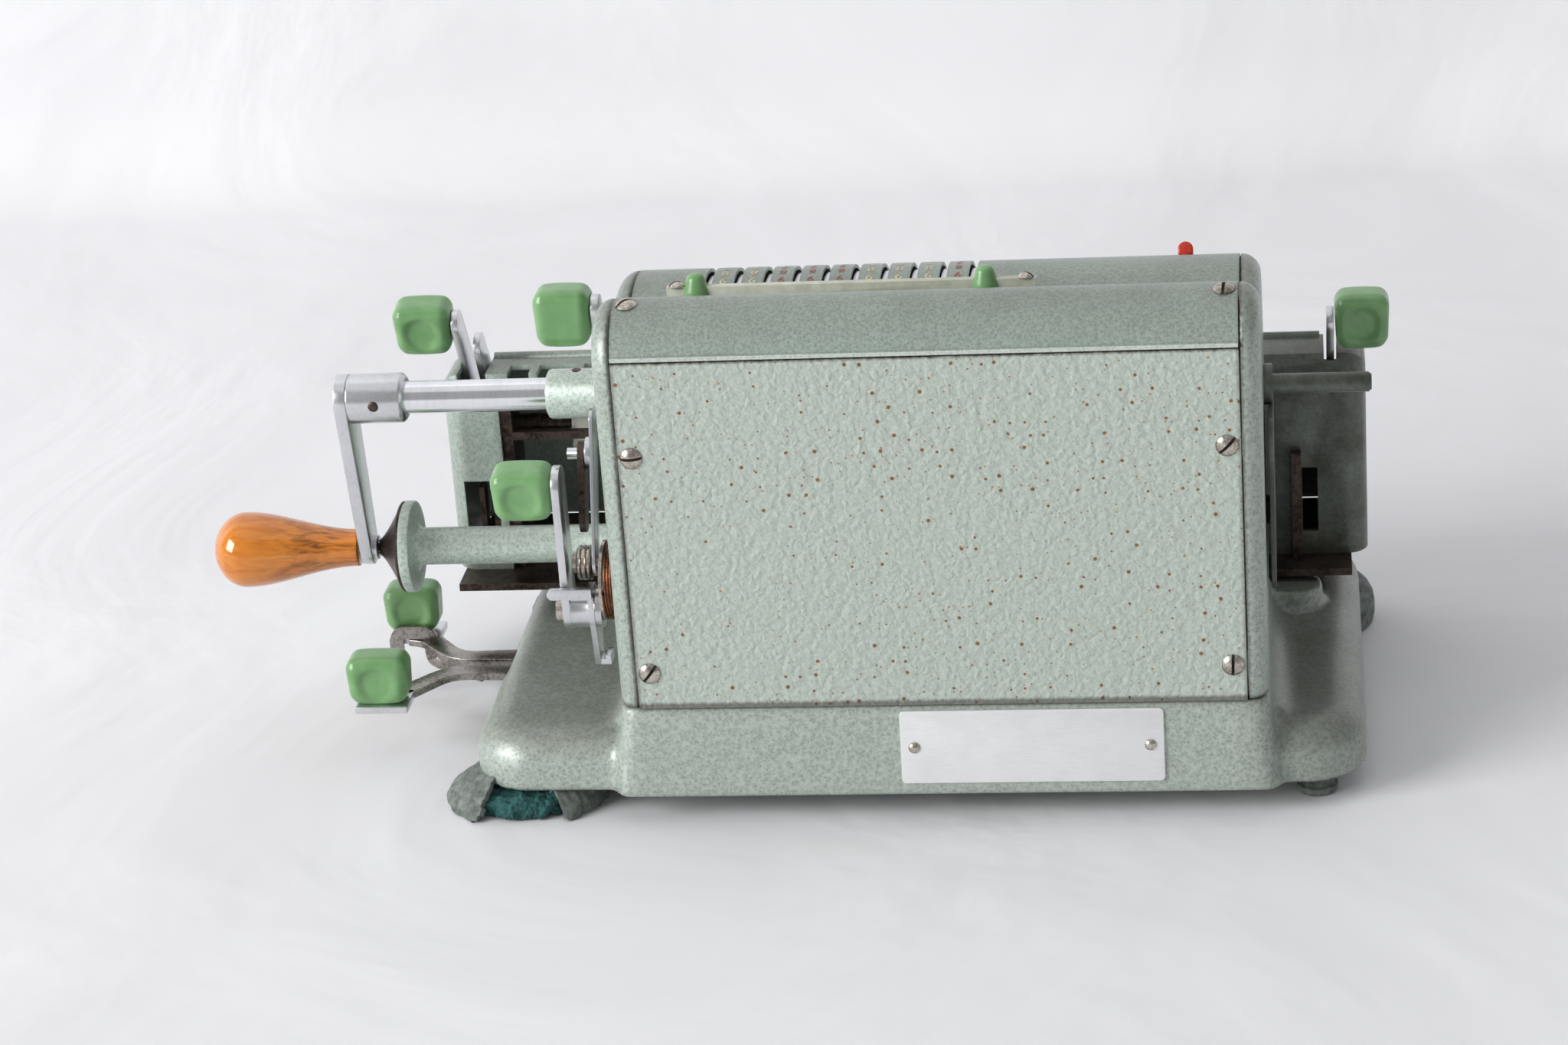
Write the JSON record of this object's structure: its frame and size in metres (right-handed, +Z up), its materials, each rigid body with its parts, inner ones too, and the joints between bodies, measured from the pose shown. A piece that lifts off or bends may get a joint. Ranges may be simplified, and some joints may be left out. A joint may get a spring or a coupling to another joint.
{
  "type": "mechanical calculator",
  "caption": "Hand-cranked pinwheel calculator with a sliding register carriage, slotted setting drum, side crank, clearing and tabulating keys on a cast base with rubber feet.",
  "frame": {"origin": "on the table the machine stands on, in the middle plane of its housing, midway along the depth of its base", "axes": "+X to the machine's right, where the crank is; -Y to its front, where the user sits; +Z up"},
  "size_m": [0.4194, 0.193, 0.1841],
  "materials": {
    "enamel_cast": "hammered pale grey-green enamel",
    "enamel_sheet": "pale green enamel, aged and speckled",
    "enamel_smooth": "smooth pale green enamel",
    "rubber": "aged grey rubber",
    "key_green": "glossy mid green",
    "satin_steel": "satin",
    "dark_steel": "browned, burnished",
    "chrome": "polished",
    "nickel": "nickel plated",
    "plate_white": "matt silver, blank",
    "amber_grip": "marbled amber, polished",
    "ivory": "off-white",
    "wheel_white": "off-white",
    "spring_copper": "coppery wire",
    "red": "red enamel"
  },
  "bodies": {
    "case": {"base": "enamel_cast", "side_frame_right": "enamel_cast", "side_frame_left": "enamel_cast", "rear_panel": "enamel_sheet", "rear_cover": "enamel_smooth", "drum_cover": "enamel_smooth", "front_plate": "enamel_sheet", "fasteners": "nickel", "nameplate": "plate_white", "foot_rear_right": "rubber", "foot_rear_left": "rubber", "foot_front_right": "rubber", "foot_front_left": "rubber", "crank_bearing": "enamel_cast", "rest_post": "enamel_cast", "rest_cone": "dark_steel", "left_rod": "enamel_cast", "left_bearing_plate": "enamel_cast", "decimal_bar": "ivory", "carriage_rail": "dark_steel", "lever_drum": "dark_steel", "pivot_stud": "nickel", "return_spring": "spring_copper"},
    "crank": {"crank_shaft": "chrome", "crank_arm": "satin_steel", "pinwheel_rotor": "dark_steel"},
    "handle_pin": {"handle_spindle": "satin_steel"},
    "handle": {"handle_grip": "amber_grip"},
    "carriage": {"carriage_casing": "enamel_cast", "carriage_frame": "dark_steel"},
    "result_register": {"result_wheels": "wheel_white"},
    "counter_register": {"counter_wheels": "wheel_white"},
    "clear_right": {"clear_lever_right": "satin_steel", "clear_key_right": "key_green"},
    "clear_left": {"clear_lever_left": "satin_steel", "clear_key_left": "key_green"},
    "zeroing": {"zero_lever": "satin_steel", "zero_key": "key_green"},
    "side": {"side_lever": "satin_steel", "side_key": "key_green"},
    "link": {"side_link": "satin_steel"},
    "roller": {"roller": "satin_steel"},
    "pawl": {"pawl_strip": "dark_steel"},
    "step_rear": {"step_lever_rear": "satin_steel", "step_key_rear": "key_green"},
    "step_front": {"step_lever_front": "satin_steel", "step_key_front": "key_green"},
    "tab": {"red_tab": "red"},
    "slider_right": {"decimal_slider_right": "key_green"},
    "slider_left": {"decimal_slider_left": "key_green"},
    "lever_1": {"setting_lever_1": "satin_steel"},
    "lever_2": {"setting_lever_2": "satin_steel"},
    "lever_3": {"setting_lever_3": "satin_steel"},
    "lever_4": {"setting_lever_4": "satin_steel"},
    "lever_5": {"setting_lever_5": "satin_steel"},
    "lever_6": {"setting_lever_6": "satin_steel"},
    "lever_7": {"setting_lever_7": "satin_steel"},
    "lever_8": {"setting_lever_8": "satin_steel"},
    "lever_9": {"setting_lever_9": "satin_steel"},
    "lever_10": {"setting_lever_10": "satin_steel"}
  },
  "joints": [
    {"name": "crank_turn", "type": "hinge", "parent": "case", "child": "crank", "pos_m": [0, 0.021, 0.1325], "axis": [1, 0, 0], "continuous": true},
    {"name": "handle_pull", "type": "slide", "parent": "crank", "child": "handle_pin", "axis": [1, 0, 0], "range_m": [0, 0.006], "stiffness_N_per_m": 900, "springref_m": -0.001},
    {"name": "handle_spin", "type": "hinge", "parent": "handle_pin", "child": "handle", "pos_m": [0.2074, 0.00995, 0.0717], "axis": [1, 0, 0], "continuous": true},
    {"name": "lever_1_set", "type": "hinge", "parent": "case", "child": "lever_1", "pos_m": [0, 0.021, 0.1325], "axis": [1, 0, 0], "range_deg": [-83, 0]},
    {"name": "lever_2_set", "type": "hinge", "parent": "case", "child": "lever_2", "pos_m": [0, 0.021, 0.1325], "axis": [1, 0, 0], "range_deg": [-83, 0]},
    {"name": "lever_3_set", "type": "hinge", "parent": "case", "child": "lever_3", "pos_m": [0, 0.021, 0.1325], "axis": [1, 0, 0], "range_deg": [-83, 0]},
    {"name": "lever_4_set", "type": "hinge", "parent": "case", "child": "lever_4", "pos_m": [0, 0.021, 0.1325], "axis": [1, 0, 0], "range_deg": [-83, 0]},
    {"name": "lever_5_set", "type": "hinge", "parent": "case", "child": "lever_5", "pos_m": [0, 0.021, 0.1325], "axis": [1, 0, 0], "range_deg": [-83, 0]},
    {"name": "lever_6_set", "type": "hinge", "parent": "case", "child": "lever_6", "pos_m": [0, 0.021, 0.1325], "axis": [1, 0, 0], "range_deg": [-83, 0]},
    {"name": "lever_7_set", "type": "hinge", "parent": "case", "child": "lever_7", "pos_m": [0, 0.021, 0.1325], "axis": [1, 0, 0], "range_deg": [-83, 0]},
    {"name": "lever_8_set", "type": "hinge", "parent": "case", "child": "lever_8", "pos_m": [0, 0.021, 0.1325], "axis": [1, 0, 0], "range_deg": [-83, 0]},
    {"name": "lever_9_set", "type": "hinge", "parent": "case", "child": "lever_9", "pos_m": [0, 0.021, 0.1325], "axis": [1, 0, 0], "range_deg": [-83, 0]},
    {"name": "lever_10_set", "type": "hinge", "parent": "case", "child": "lever_10", "pos_m": [0, 0.021, 0.1325], "axis": [1, 0, 0], "range_deg": [-83, 0]},
    {"name": "tab_swing", "type": "hinge", "parent": "case", "child": "tab", "pos_m": [0, 0.021, 0.1325], "axis": [1, 0, 0], "range_deg": [0, 30]},
    {"name": "slider_right_shift", "type": "slide", "parent": "case", "child": "slider_right", "axis": [1, 0, 0], "range_m": [-0.04, 0]},
    {"name": "slider_left_shift", "type": "slide", "parent": "case", "child": "slider_left", "axis": [1, 0, 0], "range_m": [-0.005, 0.03]},
    {"name": "carriage_shift", "type": "slide", "parent": "case", "child": "carriage", "axis": [1, 0, 0], "range_m": [-0.07, 0]},
    {"name": "clear_right_swing", "type": "hinge", "parent": "carriage", "child": "clear_right", "pos_m": [0, -0.06485, 0.09009], "axis": [1, 0, 0], "range_deg": [0, 60], "stiffness_Nm_per_rad": 0.08, "springref_deg": -20.05},
    {"name": "clear_left_swing", "type": "hinge", "parent": "carriage", "child": "clear_left", "pos_m": [0, -0.06485, 0.09009], "axis": [1, 0, 0], "range_deg": [0, 60], "stiffness_Nm_per_rad": 0.06, "springref_deg": -20.05},
    {"name": "result_wheels_turn", "type": "hinge", "parent": "carriage", "child": "result_register", "pos_m": [0, -0.06485, 0.09009], "axis": [1, 0, 0], "range_deg": [0, 360]},
    {"name": "counter_wheels_turn", "type": "hinge", "parent": "carriage", "child": "counter_register", "pos_m": [0, -0.06485, 0.09009], "axis": [1, 0, 0], "range_deg": [0, 360]},
    {"name": "zeroing_pull", "type": "hinge", "parent": "case", "child": "zeroing", "pos_m": [0, 0.021, 0.1325], "axis": [1, 0, 0], "range_deg": [0, 40], "stiffness_Nm_per_rad": 0.05, "springref_deg": -28.65},
    {"name": "side_swing", "type": "hinge", "parent": "case", "child": "side", "pos_m": [0, 0.063, 0.0695], "axis": [1, 0, 0], "range_deg": [0, 10], "stiffness_Nm_per_rad": 0.12, "springref_deg": -22.92},
    {"name": "link_swing", "type": "hinge", "parent": "case", "child": "link", "pos_m": [0, 0.063, 0.0864], "axis": [1, 0, 0], "range_deg": [-6, 8]},
    {"name": "roller_turn", "type": "hinge", "parent": "case", "child": "roller", "pos_m": [0, 0.063, 0.0864], "axis": [1, 0, 0], "continuous": true},
    {"name": "pawl_swing", "type": "hinge", "parent": "link", "child": "pawl", "pos_m": [0, 0.049, 0.121], "axis": [1, 0, 0], "range_deg": [-6, 6]},
    {"name": "step_rear_press", "type": "hinge", "parent": "case", "child": "step_rear", "pos_m": [0.148, 0, 0.022], "axis": [0, 1, 0], "range_deg": [0, 7], "stiffness_Nm_per_rad": 2, "springref_deg": -6.88},
    {"name": "step_front_press", "type": "hinge", "parent": "case", "child": "step_front", "pos_m": [0.148, 0, 0.022], "axis": [0, 1, 0], "range_deg": [0, 7], "stiffness_Nm_per_rad": 2, "springref_deg": -6.88}
  ],
  "couplings": [
    {"joint": "result_wheels_turn", "follows": "clear_right_swing", "ratio": 6},
    {"joint": "counter_wheels_turn", "follows": "clear_left_swing", "ratio": 6}
  ]
}
